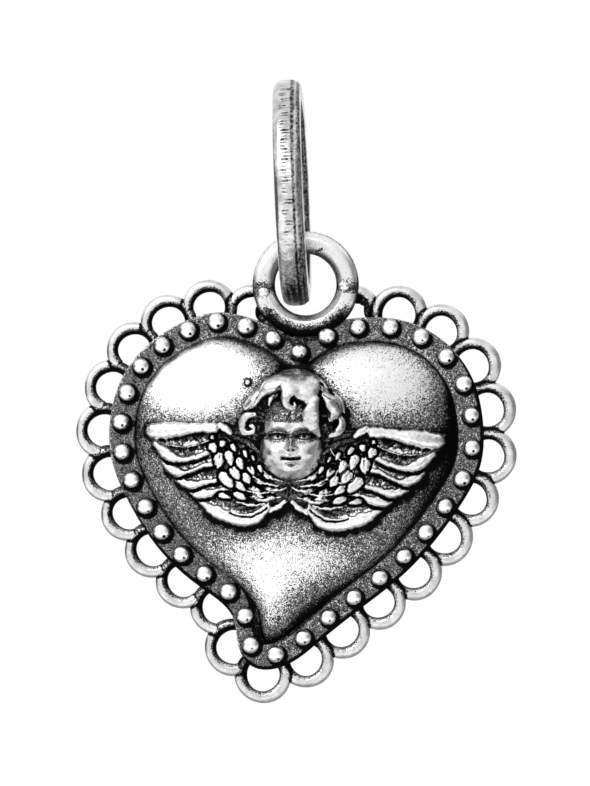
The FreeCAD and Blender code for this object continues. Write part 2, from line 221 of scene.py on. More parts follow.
# The heart's lines
outline = evenPlaces(cubicThrough(plateCorner + plateOutline * (plate["width"], plate["height"]),
                                  plate["fineSteps"]), plate["steps"] + 1)
outlineWay = unit(np.gradient(outline, axis=0))
outlineOut = np.stack([outlineWay[:, 1], -outlineWay[:, 0]], -1)


def sideLine(outset, slack=0.985, arcSteps=25):
    # the outline moved out or in by an even distance, less the parts that come nearer to it;
    # an inner line turns round the notch on an arc
    moved = outline + outlineOut * outset
    line = moved[nearest(moved, outline) > abs(outset) * slack]
    if outset < 0:
        first, last = line[0] - outline[0], line[-1] - outline[0]
        a, b = (math.atan2(spoke[1], spoke[0]) for spoke in (last, first))
        turn = np.linspace(0, ((b - a + math.pi) % (2 * math.pi)) - math.pi, arcSteps)[1:-1] + a
        arc = outline[0] + abs(outset) * np.stack([np.cos(turn), np.sin(turn)], -1)
        line = np.concatenate([arc[len(arc) // 2:], line, arc[:len(arc) // 2 + 1]])
    return line


# Dome: how far each of its contours reaches, and how high it stands
dome = {"rise": 2.30, "centre": (0.495, 0.600), "roundPower": 0.5, "roundAngle": 50,
        "footPower": 2.3, "crownPower": 1.9, "around": 840, "levels": 84, "tableSteps": 1441,
        "halvings": 18, "parts": 24}
domeCentre = plateCorner + np.array(dome["centre"]) * (plate["width"], plate["height"])
footLine = sideLine(-plate["band"])
tableTurns = np.linspace(-math.pi, math.pi, dome["tableSteps"])
footAway = footLine - domeCentre
footTurns = np.arctan2(footAway[:, 1], footAway[:, 0])
order = np.argsort(footTurns)
footReach = np.interp(tableTurns, footTurns[order], np.hypot(*footAway[order].T),
                      period=2 * math.pi)
window = int(dome["tableSteps"] * dome["roundAngle"] / 360)
roundReach = np.convolve(np.concatenate([footReach[-window - 1:-1], footReach,
                                         footReach[1:window + 1]]),
                         np.ones(2 * window + 1) / (2 * window + 1), "valid")


def levelReach(level, turn):
    # a contour's distance from the crown: the level's share of the foot line's own distance,
    # blended into the averaged one the higher it lies
    rounding = (1 - level) ** dome["roundPower"]
    return level * (np.interp(turn, tableTurns, footReach) * (1 - rounding)
                    + np.interp(turn, tableTurns, roundReach) * rounding)


def levelHeight(level):
    # full rise at the crown, where the level is 0, and a steep fall to nothing at the foot: one
    # less a power of the level, to a root
    return dome["rise"] * (1 - level ** dome["footPower"]) ** (1 / dome["crownPower"])


def domeHeight(x, z):
    # height of the dome over the plate: the level whose contour goes through the place, found by
    # halving the span that it lies in
    turn = np.arctan2(z - domeCentre[1], x - domeCentre[0])
    away = np.hypot(z - domeCentre[1], x - domeCentre[0])
    low, high = np.zeros_like(away), np.ones_like(away)
    for _ in range(dome["halvings"]):
        level = (low + high) / 2
        falls = levelReach(level, turn) < away
        low, high = np.where(falls, level, low), np.where(falls, high, level)
    return levelHeight(low)


print("lines ready")


# Finishes
def feed(tree, node, inputs):
    # each input takes a value, or the output of another node
    for name, value in inputs.items():
        if isinstance(value, bpy.types.NodeSocket):
            tree.links.new(value, node.inputs[name])
        else:
            node.inputs[name].default_value = value


def addNode(tree, kind, inputs, output=0, **settings):
    # a new node with its settings and its inputs; gives back one output
    node = tree.nodes.new("ShaderNode" + kind)
    for name, value in settings.items():
        setattr(node, name, value)
    feed(tree, node, inputs)
    return node.outputs[output]


def maths(tree, operation, a, b):
    return addNode(tree, "Math", {0: a, 1: b}, operation=operation)


def agedSilver(name, look):
    # bright metal and black patina, parted by the wear and the painted light and shade on the piece
    # and broken up by grains
    material = bpy.data.materials.new(name)
    material.use_nodes = True
    tree = material.node_tree
    point = addNode(tree, "Mapping", {"Vector": addNode(tree, "TexCoord", {}, "Object"),
                                      "Scale": (1 / millimetre,) * 3}, "Vector")
    wearAndPaintedLight = addNode(tree, "Attribute", {}, "Fac", attribute_name="wearAndPaintedLight")

    # the parts of the finish: noise on the piece, sums and products, a value's distance from a
    # half times a gain, an eased step, and a blend of two
    def noise(scale, detail, rough=0.6):
        return addNode(tree, "TexNoise", {"Vector": point, "Scale": scale, "Detail": detail,
                                          "Roughness": rough}, "Fac")

    def add(a, b):
        return maths(tree, "ADD", a, b)

    def times(a, b):
        return maths(tree, "MULTIPLY", a, b)

    def swayed(value, gain):
        return times(maths(tree, "SUBTRACT", value, 0.5), gain)

    def ramp(value, low, high):
        return addNode(tree, "MapRange", {"Value": value, "From Min": low, "From Max": high},
                       "Result", interpolation_type="SMOOTHSTEP")

    def mix(factor, a, b, kind="RGBA"):
        return addNode(tree, "Mix", {"Factor": factor, "A": a, "B": b}, "Result", data_type=kind)

    grains = add(*(times(noise(look["grain"] * scale, 2), share)
                   for scale, share in look["grains"]))
    clouds = swayed(noise(look["clouds"], 3), look["cloudy"])
    broken = add(wearAndPaintedLight, add(swayed(grains, look["speckle"]), clouds))
    bright = ramp(broken, 0.5 - look["edge"], 0.5 + look["edge"])
    metal = mix(ramp(noise(look["clouds"] * 2.2, 4), 0.3, 0.75), look["metalDull"], look["metal"])
    dark = mix(ramp(grains, 0.40, 0.62), look["patina"], look["patinaWorn"])
    black = mix(ramp(add(wearAndPaintedLight, swayed(grains, 0.8)), -0.05, 0.20), look["soot"], dark)
    polished = add(look["rough"] - look["smear"] / 2,
                   times(noise(look["clouds"] * 6, 4, 0.7), look["smear"]))
    height = add(times(grains, 0.6), times(bright, 0.5))
    bumped = addNode(tree, "Bump", {"Strength": look["bump"], "Height": height,
                                    "Distance": look["bumpDepth"] * millimetre}, "Normal")
    feed(tree, tree.nodes["Principled BSDF"], {
        "Base Color": mix(bright, black, metal), "Metallic": 1.0,
        "Roughness": mix(bright, look["patinaRough"], polished, "FLOAT"), "Normal": bumped})
    return material


def greyTone(level, blue=0.0):
    # a grey as red, green, blue and alpha, a little warmer or cooler by its blue
    return level, level, level + blue, 1


silverLook = {
    "metal": greyTone(0.90, -0.005), "metalDull": greyTone(0.66), "soot": greyTone(0.004),
    "patina": greyTone(0.02, 0.001), "patinaWorn": greyTone(0.17, 0.005), "grain": 11.0,
    "grains": ((1.0, 0.78), (0.31, 0.22)), "clouds": 0.7, "speckle": 1.2, "cloudy": 0.3,
    "edge": 0.12, "rough": 0.22, "smear": 0.12, "patinaRough": 0.5, "bump": 0.35, "bumpDepth": 0.06}
# what each piece's finish changes in the common look
looks = {
    "ring": ("ringSilver", {"metal": greyTone(0.80), "metalDull": greyTone(0.45), "speckle": 0.8,
                            "patinaWorn": greyTone(0.30), "grain": 5.0, "rough": 0.18,
                            "edge": 0.25}),
    "eye": ("eyeSilver", {"speckle": 2.7, "metalDull": greyTone(0.78)}),
    "plate": ("oxidisedSilver", {"speckle": 3.1, "bump": 0.8, "patina": greyTone(0.03, 0.001),
                                 "patinaWorn": greyTone(0.31, 0.005), "grain": 12.0}),
    "dome": ("burnishedSilver", {"speckle": 3.3, "rough": 0.26, "metalDull": greyTone(0.84),
                                 "patinaWorn": greyTone(0.30, 0.005), "grain": 12.5}),
    "bead": ("beadSilver", {"speckle": 0.8, "rough": 0.26, "metal": greyTone(0.95, -0.005),
                            "metalDull": greyTone(0.84)}),
    "loop": ("loopSilver", {"speckle": 1.8, "rough": 0.28, "metal": greyTone(0.82),
                            "metalDull": greyTone(0.56)}),
    "figure": ("figureSilver", {"speckle": 2.0, "rough": 0.28, "metal": greyTone(0.94, -0.005),
                                "metalDull": greyTone(0.72), "clouds": 1.4}),
    "head": ("headSilver", {"speckle": 1.7, "rough": 0.25, "metal": greyTone(0.86),
                            "metalDull": greyTone(0.48), "clouds": 1.1})}
finishes = {piece: agedSilver(name, {**silverLook, **changes})
            for piece, (name, changes) in looks.items()}
print("finishes ready")


# Jump ring and eye
def squareRound(turn, deep, wide, squareness):
    # a wire's section: a circle whose cosine and sine are drawn towards one by a power under 1,
    # which presses it towards a rectangle
    cosine, sine = np.cos(turn), np.sin(turn)
    return (deep / 2 * np.sign(cosine) * np.abs(cosine) ** squareness,
            wide / 2 * np.sign(sine) * np.abs(sine) ** squareness)


def hoop(piece):
    # a closed ring of wire: its section carried round a circle, upright and then leaned over,
    # with the angle along the ring and the angle round the wire at each point
    run = turnsOf(piece["rows"])[:, None]
    turn = turnsOf(piece["columns"])[None]
    out, along = squareRound(turn, piece["deep"], piece["wide"], piece["squareness"])
    radius = (piece["outer"] - piece["deep"]) / 2 + out
    x, y, z = radius * np.sin(run), along + 0 * run, radius * np.cos(run)
    if piece["edgeOn"]:
        a = math.radians(piece["lean"])
        x, y, z = y * math.cos(a) - z * math.sin(a), x, y * math.sin(a) + z * math.cos(a)
    points = np.stack([x, y, z], -1) + piece["centre"]
    quads = faceGrid(piece["rows"] + 1, piece["columns"]) % (piece["rows"] * piece["columns"])
    return points, quads, run + 0 * turn, turn + 0 * run


jumpRing = {"outer": 15.25, "deep": 1.80, "wide": 1.90, "lean": 2.4, "squareness": 0.70,
            "rows": 1040, "columns": 56, "centre": (0, 0, 0), "edgeOn": True}
points, quads, run, turn = hoop(jumpRing)
# file ticks, a seam and a groove on the wire's outside, and fine streaks; painted shade on its
# right side and low down, a painted dark reflection low down, and lighter round its middle
up, across = np.cos(run), np.sin(turn)
outside = smoothStep(-0.2, 0.4, np.cos(turn))
ticks = smoothStep(-0.1, 0.6, np.sin(run * 196) + 0.8 * np.sin(run * 67 + 1)) \
    * smoothStep(-0.55, -0.25, up) * smoothStep(0.97, 0.90, up)
filing = bell(across + 0.12 + 0.08 * np.sin(run * 31), 0.20, 4) * ticks
seam = bell(across - 0.62, 0.06) * smoothStep(-0.72, -0.85, up)
streaks = 0.16 * np.sin(across * 17 + 1.2 * np.sin(run * 2)) + 0.10 * np.sin(across * 41 + 3 * run)
darkReflection = smoothStep(-0.74, -0.92, up) * smoothStep(-0.985, -0.955, up) \
    * bell(across + 0.12, 0.5, 4) * outside * (0.60 + 0.45 * np.sin(across * 19 + 4 * run))
wearAndPaintedLight = 0.80 - (0.30 - streaks) * smoothStep(0.05, 0.25, across) \
    - 0.28 * smoothStep(-0.72, -0.95, across) - 0.62 * filing * outside - seam \
    - 0.22 * (1 - outside) - 0.42 * bell(across - 0.20, 0.05) - 0.35 * bell(across - 0.84, 0.05) \
    - darkReflection + 0.12 * bell(up - 0.1, 0.35) - 0.24 * smoothStep(-0.25, -0.7, up)
wearAndPaintedLight = np.where(np.abs(across) > 0.90, 0.72 + 0.10 * np.sin(9 * run + 5 * across), wearAndPaintedLight)
points -= ((0.05 * seam + 0.02 * filing) * outside)[..., None] \
    * np.stack([0 * run, np.sin(run), up], -1)
putMesh("jumpRing", [(points.reshape(-1, 3), [quads], wearAndPaintedLight.ravel())], "ring", ["jump_ring"],
        finishes["ring"])


def blob(centre, size, wearAndPaintedLight, rows=14, columns=24):
    # small drop of metal: a sphere drawn out to three half sizes, with closed poles
    polar = np.linspace(0.08, math.pi - 0.08, rows)[:, None]
    around = turnsOf(columns)[None]
    spoke = np.stack([np.sin(polar) * np.cos(around), -np.cos(polar) + 0 * around,
                      np.sin(polar) * np.sin(around)], -1)
    points, faces = tubeSkin(np.array(centre) + spoke * size)
    return points, faces, wearAndPaintedLight


eye = {"outer": 7.18, "deep": 1.52, "wide": 1.52, "squareness": 0.80, "rows": 300, "columns": 44,
       "centre": (0.921, 0, -6.188), "edgeOn": False, "webDepth": plateFront + 0.40}
points, quads, run, turn = hoop(eye)
# painted shade over the eye's lower part and more along the right of its rim; dark in the hole,
# along the rim, at the two joints and in one casting pit
undersideShade = smoothStep(-0.45, 0.40, np.cos(turn)) * smoothStep(0.30, 0.72, -np.cos(run))
hole = smoothStep(0.70, 0.97, -np.cos(turn))
rim = smoothStep(0.75, 0.98, np.cos(turn))
joint = bell(run - 1.5 * math.pi + 0.10, 0.20) + bell(run - 0.52 * math.pi, 0.16)
pitAndDarkReflection = bell(run - 0.36 - 0.10 * np.sin(3 * turn), 0.05) * bell(np.cos(turn) + 0.45, 0.28) \
    * (np.sin(turn) < 0)
wearAndPaintedLight = 0.95 - 1.2 * pitAndDarkReflection - 1.1 * undersideShade - 0.75 * hole - 0.80 * joint \
    - rim * (0.35 + 0.25 * smoothStep(-0.2, 0.6, np.sin(run)))
solder = (
    # middle, half sizes and wear of a drop at each side and of three in the notch
    ((-1.90, -0.52, -6.70), (0.42, 0.36, 0.40), 0.85),
    ((3.55, -0.52, -6.30), (0.42, 0.36, 0.40), 0.85),
    ((0.48, 0.10, -10.0), (0.85, 0.52, 0.55), 0.05),
    ((-0.35, 0.10, -9.75), (0.75, 0.52, 0.33), 0.05),
    ((1.35, 0.10, -9.75), (0.75, 0.52, 0.33), 0.05))
webs = (
    # place, half width, half height and wear of what fills the corners between the eye, the plate
    # and the last loops
    (-2.24, -8.03, 0.26, 0.52, -0.2), (-1.96, -8.40, 0.42, 0.36, 0.0),
    (-1.56, -8.74, 0.46, 0.30, 0.12), (-1.15, -9.02, 0.46, 0.24, 0.16),
    (4.46, -7.10, 0.46, 0.40, -0.15), (4.86, -7.30, 0.36, 0.34, -0.05),
    (5.06, -7.86, 0.24, 0.60, 0.0))
drops = [blob(*drop) for drop in solder]
for x, z, wide, high, shine in webs:
    drops.append(blob((x, eye["webDepth"], z), (wide, 0.42, high), shine))
putMesh("hangingEye", [(points.reshape(-1, 3), [quads], wearAndPaintedLight.ravel())] + drops, "heart",
        ["hanging_eye"], finishes["eye"])


# Beads
beads = {"diameter": 1.14, "inset": 0.78, "lift": 0.18, "height": 0.72, "crown": 0.40, "left": 17,
         "right": 16, "tip": 0.495, "rows": 16, "columns": 26}
beadShares = np.concatenate([np.linspace(0, beads["tip"], beads["left"] + 2),
                             np.linspace(beads["tip"], 1, beads["right"] + 2)[1:-1]])
beadFlat, _ = besideLine(sideLine(-beads["inset"]), beadShares)
beadFlat = beadFlat + (0, beads["lift"])
shells = []
# the cap's profile: how far out each row lies, and how high it stands over the bead's foot
away = np.concatenate([np.linspace(0.06, 0.9, beads["rows"] - 5), (0.96, 0.99, 1.0, 1.0, 0.9)])
crown = beads["crown"] * np.sqrt(np.clip(1 - np.minimum(away, 1) ** 2.2, 0, 1))
crown[-2:] = (-0.3, -0.5)
across = away[:, None] * np.cos(turnsOf(beads["columns"]))
upward = away[:, None] * np.sin(turnsOf(beads["columns"]))
for place in beadFlat:
    radius = beads["diameter"] / 2 * (1 - 0.05 * rng.random())
    squash = 1 + 0.05 * rng.standard_normal(2) * 0.5
    depth = (plateFront - beads["height"] + beads["crown"] - crown)[:, None] + 0 * across
    points, faces = tubeSkin(np.stack([place[0] + radius * squash[0] * across, depth,
                                       place[1] + radius * squash[1] * upward], -1))
    # a small painted dark reflection sits low on the right of each bead, as a dot
    pitAndDarkReflection = (0.30 + 0.10 * math.sin(5 * place[0]), -0.50 + 0.10 * math.cos(7 * place[1]))
    reflectionDarkness = 1.05 + 0.35 * math.sin(3 * place[0] + place[1])
    wearAndPaintedLight = np.where(crown < 0, -0.2, 0.98 - 0.2 * away ** 6)[:, None] \
        - reflectionDarkness * bell(np.hypot(across - pitAndDarkReflection[0], upward - pitAndDarkReflection[1]), 0.19)
    shells.append((points, faces, np.concatenate([wearAndPaintedLight.ravel(), [1, -0.2]])))
# one stray grain lies on the dome
stray = (-2.90, -12.79)
strayDepth = plateFront - float(domeHeight(np.array(stray[0]), np.array(stray[1])))
shells.append(blob((stray[0], strayDepth - 0.03, stray[1]), (0.18, 0.14, 0.18), 1.0))
putMesh("beadRow", shells, "heart", ["bead_row"], finishes["bead"])


# Plate
ringPlaces = outline[:-1]
ringOut = outlineOut[:-1]
bend = np.linspace(0, math.pi / 2, plate["edgeRows"])
edge = plate["edgeRound"]
rims = [(-edge * (1 - math.sin(b)), plateFront + edge * (1 - math.cos(b))) for b in bend]
rims += [(-edge * (1 - math.cos(b)), plate["back"] - edge * (1 - math.sin(b))) for b in bend]
insets = (1.95, 1.85, 1.75, 1.65, 1.55, 1.45, 1.35, 1.25, 1.15, 1.05, 0.95, 0.85, 0.75, 0.65, 0.56,
          0.47, 0.38, 0.31, 0.25, 0.20)
lowerRight = ringOut @ np.array((0.55, -0.83))
leftSide = smoothStep(0.2, 0.9, -ringOut[:, 0])
spokes = ringPlaces - domeCentre
inward = unit(-spokes)
# under the dome, then the band with its beads, the rounded edge and the back
hiddenShares = (0.02, 0.3, 0.6)
rows = [upright(domeCentre + spokes * share, plateFront) for share in hiddenShares]
wearsAndPaintedLight = [np.full(len(spokes), 0.2)] * len(hiddenShares)
for inset in insets:
    flat = ringPlaces - ringOut * min(inset, 0.6) + inward * max(inset - 0.6, 0)
    grain = plate["grain"] * rng.standard_normal(len(flat))
    rows.append(upright(flat, plateFront + np.abs(grain)))
    # painted shadow of the beads on their lower right; the band is darker on the left and at the
    # dome's foot, with painted shade at its outer edge on the lower right
    beadShadow = 1 - smoothStep(0.60, 0.80, nearest(flat, beadFlat + (0.12, -0.14)))
    wearsAndPaintedLight.append(0.31 - 0.12 * leftSide - 0.7 * beadShadow + 0.10 * bell(inset - 1.5, 0.12)
                 - 0.35 * smoothStep(1.60, 1.78, inset)
                 - 0.5 * smoothStep(0.30, 0.20, inset) * smoothStep(0.0, 0.4, lowerRight)
                 + 0.05 * rng.standard_normal(len(flat)))
for outset, depth in rims:
    rows.append(upright(ringPlaces + ringOut * outset, depth))
    # painted shade where the rounded edge faces down and right, front and back, and lighter on the
    # front's outer rows
    front = 0.42 - 0.9 * smoothStep(-0.45, 0.25, lowerRight) + 0.3 * (outset > -0.06)
    behind = 0.25 - 0.3 * smoothStep(0.0, 0.4, lowerRight)
    wearsAndPaintedLight.append(front if depth < plateFront + 0.1 else behind)
for share in (0.99, 0.97, 0.95, 0.92, 0.88, 0.83, 0.77, 0.70, 0.62, 0.54, 0.46, 0.38, 0.30, 0.22,
              0.14, 0.07, 0.02):
    # the back is hollowed a little, and shows where the hammer went
    flat = domeCentre + spokes * share
    hammered = np.sin(1.9 * flat[:, 0] + 1.3 * np.sin(1.1 * flat[:, 1])) \
        * np.sin(1.7 * flat[:, 1] + 1.5 * np.sin(0.9 * flat[:, 0]))
    hollowed = plate["dish"] * (1 - share ** 6) \
        + plate["hammer"] * (1 - share ** 8) * (1 + hammered)
    rows.append(upright(flat, plate["back"] - hollowed))
    wearsAndPaintedLight.append(0.84 + 0.14 * hammered - 0.55 * smoothStep(0.80, 1.0, share))
points, faces = tubeSkin(np.stack(rows))
putMesh("heartPlate", [(points, faces, np.concatenate([np.concatenate(wearsAndPaintedLight), [0.2, 0.9]]))],
        "heart", ["heart_plate"], finishes["plate"])


# Edge loops
loops = {"middle": 1.50, "wire": 0.82, "outset": 0.37, "run": 12, "first": 0.043, "tip": 0.484,
         "last": 0.951, "rows": 72, "columns": 28, "open": 45, "trial": 400}
loopShares = np.concatenate([np.linspace(loops["first"], loops["tip"], loops["run"] + 1),
                             np.linspace(loops["tip"], loops["last"], loops["run"] + 1)[1:]])
loopPlaces, loopOut = besideLine(sideLine(loops["outset"]), loopShares)
loopDepth = plateFront + plate["thick"] / 2
# each loop is an open ring; the first and last trim their ends against the eye
half = math.pi - math.radians(loops["open"])
turn = turnsOf(loops["columns"])
outer, along = squareRound(turn, loops["wire"], loops["wire"], 0.9)
core = bell(np.cos(turn), 0.45)[None]
for k, (centre, out) in enumerate(zip(loopPlaces, loopOut)):
    size = loops["middle"] * (1 + 0.012 * rng.standard_normal())
    side = np.array((-out[1], out[0]))
    # the wire shows where neither the next loop nor the eye covers it
    swing = np.linspace(-half, half, loops["trial"])
    flat = centre + (np.cos(swing)[:, None] * out + np.sin(swing)[:, None] * side) * size
    keep = np.linalg.norm(flat - (eye["centre"][0], eye["centre"][2]), axis=1) \
        > (eye["outer"] - eye["deep"]) / 2
    covered = k + 1 < len(loopPlaces)
    if covered:
        keep &= np.linalg.norm(flat - loopPlaces[k + 1], axis=1) > loops["middle"] + 0.05
    kept = np.flatnonzero(keep)
    shown = max(np.split(kept, np.flatnonzero(np.diff(kept) > 1) + 1), key=len)
    swing = np.linspace(swing[shown[0]], swing[shown[-1]], loops["rows"])
    run = np.cos(swing)[:, None] * out + np.sin(swing)[:, None] * side
    reach = size + outer[None] * (1 + 0.05 * np.sin(3 * swing + k)[:, None])
    wire = np.stack([centre[0] + run[:, :1] * reach, loopDepth + along + 0 * reach,
                     centre[1] + run[:, 1:] * reach], -1)
    points, faces = tubeSkin(wire)
    # dark on the inside, with more painted shade where the inside faces down and right, towards the
    # roots and where it goes in under the next loop
    shadeSide = smoothStep(-0.5, 0.7, run @ np.array((-0.6, 0.8)))[:, None]
    inner = smoothStep(-0.25, 0.55, -np.cos(turn))[None] * (0.35 + 0.65 * shadeSide) \
        + 0.5 * smoothStep(0.75, 0.98, -np.cos(turn))[None]
    root = 0.5 * smoothStep(0.66, 0.90, np.abs(swing) / half)[:, None] \
        + 0.7 * smoothStep(0.92, 1.0, np.abs(swing) / half)[:, None]
    ends = 1 - smoothStep(0.0, 0.16, (swing.max() - swing) * loops["middle"])
    wearAndPaintedLight = 0.97 - 1.15 * inner - root * (1 - 0.55 * core) - 0.9 * ends[:, None] * covered
    if k:
        # dark where it meets the loop before it, less so on the middle of the wire
        meet = np.linalg.norm(wire[..., ::2] - loopPlaces[k - 1], axis=-1) \
            - loops["middle"] - loops["wire"] / 2
        wearAndPaintedLight = wearAndPaintedLight - bell(meet, 0.10) - (0.8 - 0.5 * core) * smoothStep(0.04, -0.08, meet)
    wearAndPaintedLight = np.concatenate([wearAndPaintedLight.ravel(), [-0.2, -0.2]])
    putMesh("edgeLoop%02d" % (k + 1), [(points, faces, wearAndPaintedLight)], "heart",
            ["edge_loop_%02d" % (k + 1)], finishes["loop"])


# Reliefs: heights on a flat grid, made of strokes
def evenBlur(height, spread):
    # Gaussian blur of a grid, spread in cells: its waves shrunk by a bell of their frequency
    waves = np.meshgrid(*(np.fft.fftfreq(n) for n in height.shape), indexing="ij")
    soft = np.exp(-2 * (math.pi * spread) ** 2 * (waves[0] ** 2 + waves[1] ** 2))
    return np.real(np.fft.ifft2(np.fft.fft2(height) * soft))


def softMax(a, b, blend):
    # the higher of two surfaces: half their sum and half their distance, which is kept from
    # falling under the blend, so the join is rounded
    return (a + b + np.sqrt((a - b) ** 2 + blend ** 2)) / 2


def spreadOut(share, values):
    # values given at even steps of a path, at any share of it
    return np.interp(share, np.linspace(0, 1, len(values)), values)


class Relief:
    # a flat grid of heights and of wear with painted shadows, on which each stroke is laid where it
    # stands highest
    bottom = -0.6
    blackened = -0.3

    def __init__(self, plan):
        self.cell, self.ragged = plan["cell"], plan["ragged"]
        self.step, self.corner = np.array(plan["step"]), np.array(plan["corner"])
        self.u, self.v = np.meshgrid(*(np.arange(low, high + self.cell, self.cell)
                                       for low, high in zip(plan["low"], plan["high"])),
                                     indexing="ij")
        self.height = np.full(self.u.shape, self.bottom)
        self.tone = np.full(self.u.shape, self.blackened)
        drift = evenBlur(rng.standard_normal(self.u.shape), 7)
        self.drift = drift / drift.std()
        mottle = evenBlur(rng.standard_normal(self.u.shape), 1.6)
        self.mottle = mottle / mottle.std()

    def paint(self, where, top, tone, blend=0.0):
        # keeps the higher of the old and the new surface, and the tone of the one on top
        top = np.where(where, top, self.bottom)
        self.tone = np.where(top > self.height, tone, self.tone)
        self.height = softMax(self.height, top, blend) if blend else np.maximum(self.height, top)

    def cut(self, where, level):
        # lowers to a level what stands over it, and blackens it
        self.height = np.where(where, np.minimum(self.height, level), self.height)
        self.tone = np.where(where, self.blackened, self.tone)

    def along(self, path, fineSteps=200, steps=70):
        # for each grid place: the nearest share of a smooth path and the distance to its right;
        # the path is given in the relief's small steps
        line = evenPlaces(cubicThrough(path * self.step + self.corner, fineSteps), steps)
        way = unit(np.gradient(line, axis=0))
        away = (self.u[..., None] - line[:, 0]) ** 2 + (self.v[..., None] - line[:, 1]) ** 2
        near = away.argmin(-1)
        du, dv = self.u - line[near, 0], self.v - line[near, 1]
        side = way[near, 1] * du - way[near, 0] * dv
        side = np.copysign(np.sqrt(away.min(-1)), side) + self.ragged * self.mottle
        return near / (steps - 1), side, lengthAlong(line)[-1]

    def feather(self, path, halves, inside, base, crests, shine, gap=0.17):
        # bright rounded ridge along the path, high by a root of one less a power of the distance
        # from its line; inside it a dark hollow with fine barbs, which are a slanted cosine
        share, side, length = self.along(path)
        half, crest, hollow = (spreadOut(share, values) for values in (halves, crests, inside))
        half = half * (1 + 0.13 * np.clip(self.drift, -1.8, 1.8))
        barbs = np.cos(2 * math.pi * (share * length + side * 0.7 + 0.10 * self.drift) / 0.27)
        into = (side - half) / np.maximum(hollow - half, 0.01)
        ground = base + 0.10 * bell(into, 0.35) + 0.03 * barbs + 0.03 * self.mottle
        self.paint((side > 0) & (into < 1), ground,
                   0.26 + 0.10 * barbs + 0.14 * self.mottle + 0.45 * bell(into, 0.25)
                   - 0.5 * into ** 4)
        s = np.abs(side / half)
        # a groove cut under the ridge and painted black as its shadow on what lies below
        self.cut((side < 0) & (s < 1 + gap / half) & (share > 0.03) & (share < 0.93), 0.10)
        ridge = base * 0.5 + (crest - base * 0.5) * np.clip(1 - s ** 2.6, 0, 1) ** 0.5
        frayed = smoothStep(0.1, 0.9, side / half) * smoothStep(0.12, 0.40, share)
        self.paint(s < 1, ridge, spreadOut(share, shine) + 0.10 * self.drift
                   - 0.8 * smoothStep(0.86, 1.0, s) - frayed * (0.40 + 0.30 * self.mottle))

    def lock(self, path, wide, foot, rise, grooves=0, depth=0.05, blend=0.03, tone=1.0, rim=1.0):
        # rounded strand, as high as a root of one less a power of the distance from its line, whose
        # width and foot run along the path; its fine grooves are a sine across it
        share, side, _ = self.along(path)
        half, base = spreadOut(share, wide), spreadOut(share, foot)
        s = side / half
        groove = bell(np.abs(np.sin(math.pi * (grooves * s / 2 + 0.6 * share))), 0.30) \
            if grooves else 0 * s
        top = base + np.minimum(rise, half * 1.1) * np.clip(1 - np.abs(s) ** 2.4, 0, 1) ** 0.5 \
            - depth * groove * np.clip(1 - s ** 2, 0, 1)
        self.paint(np.abs(s) < 1, top, tone + 0.10 * self.drift - 0.7 * groove
                   - rim * smoothStep(0.84, 1.0, np.abs(s)), blend)

    def drop(self, place, half, turn, rise, base, shine, gap=0.11):
        # small feather on a tapered oval that stands up towards its lower end, with a fine line
        # down its middle; a dark line is cut round it into what lies below
        a = math.radians(turn)
        place, half = place * self.step + self.corner, half * self.step
        du, dv = self.u - place[0], self.v - place[1]
        down = du * math.cos(a) + dv * math.sin(a)
        across = dv * math.cos(a) - du * math.sin(a)
        taper = 1.08 - 0.35 * np.clip(down / half[0], -1, 1)
        over = across / half[1] / taper
        inside = 1 - (down / half[0]) ** 2 - over ** 2 + 0.11 * self.mottle
        self.cut((down / (half[0] + gap)) ** 2 + (across / (half[1] * taper + gap)) ** 2 < 1, 0.12)
        top = base + rise * (0.62 + 0.38 * down / half[0]) * np.clip(inside, 0, 1) ** 0.4 \
            - 0.03 * bell(over, 0.12)
        tone = shine + 0.30 * down / half[0] - 1.0 * smoothStep(0.24, 0.0, inside) \
            + 0.20 * self.mottle - 0.22 * bell(over, 0.13) * (down < 0)
        self.paint(inside > 0, top, tone)

    def finished(self, soften, reaches):
        # softened heights, and the painted wear and shadows, darker in hollows and brighter on what
        # stands out
        height = evenBlur(self.height, soften / self.cell)
        shown = np.maximum(height, -0.05)
        wearAndPaintedLight = evenBlur(self.tone, 0.6)
        for reach, gain in reaches:
            wearAndPaintedLight = wearAndPaintedLight + gain * (shown - evenBlur(shown, reach / self.cell))
        return height, np.clip(wearAndPaintedLight, -0.4, 1.2)


def figurePlaces(x, z, height, step=6):
    # some of the places that a relief covers, for the shade round it on the dome
    covered = (height > 0)[::step, ::step]
    return np.stack([x[::step, ::step][covered], z[::step, ::step][covered]], -1)


def reliefShell(front, back, wearAndPaintedLight, keep):
    # closed shell: the kept cells of the front, the same cells of the back, and a wall between
    rows, columns = front.shape[:2]
    number = np.arange(rows * columns).reshape(rows, columns)
    corners = np.stack([number[:-1, :-1], number[1:, :-1], number[1:, 1:], number[:-1, 1:]], -1)
    skin = corners[keep]
    padded = np.pad(keep, 1)
    walls = []
    for (r, c), (a, b) in (((-1, 0), (3, 0)), ((1, 0), (1, 2)), ((0, -1), (0, 1)),
                           ((0, 1), (2, 3))):
        beyond = padded[1 + r:rows + r, 1 + c:columns + c]
        rim = corners[keep & ~beyond]
        walls.append(np.stack([rim[:, b], rim[:, a], rim[:, a] + rows * columns,
                               rim[:, b] + rows * columns], -1))
    faces = np.concatenate([skin, skin[:, ::-1] + rows * columns] + walls)
    used, numbered = np.unique(faces, return_inverse=True)
    points = np.concatenate([front.reshape(-1, 3), back.reshape(-1, 3)])[used]
    tone = np.concatenate([wearAndPaintedLight.ravel(), np.zeros(rows * columns)])[used]
    return points, [numbered.reshape(faces.shape)], tone


def keptCells(height, limit):
    # the grid's cells with a corner over the limit
    corner = height > limit
    return corner[:-1, :-1] | corner[1:, :-1] | corner[1:, 1:] | corner[:-1, 1:]


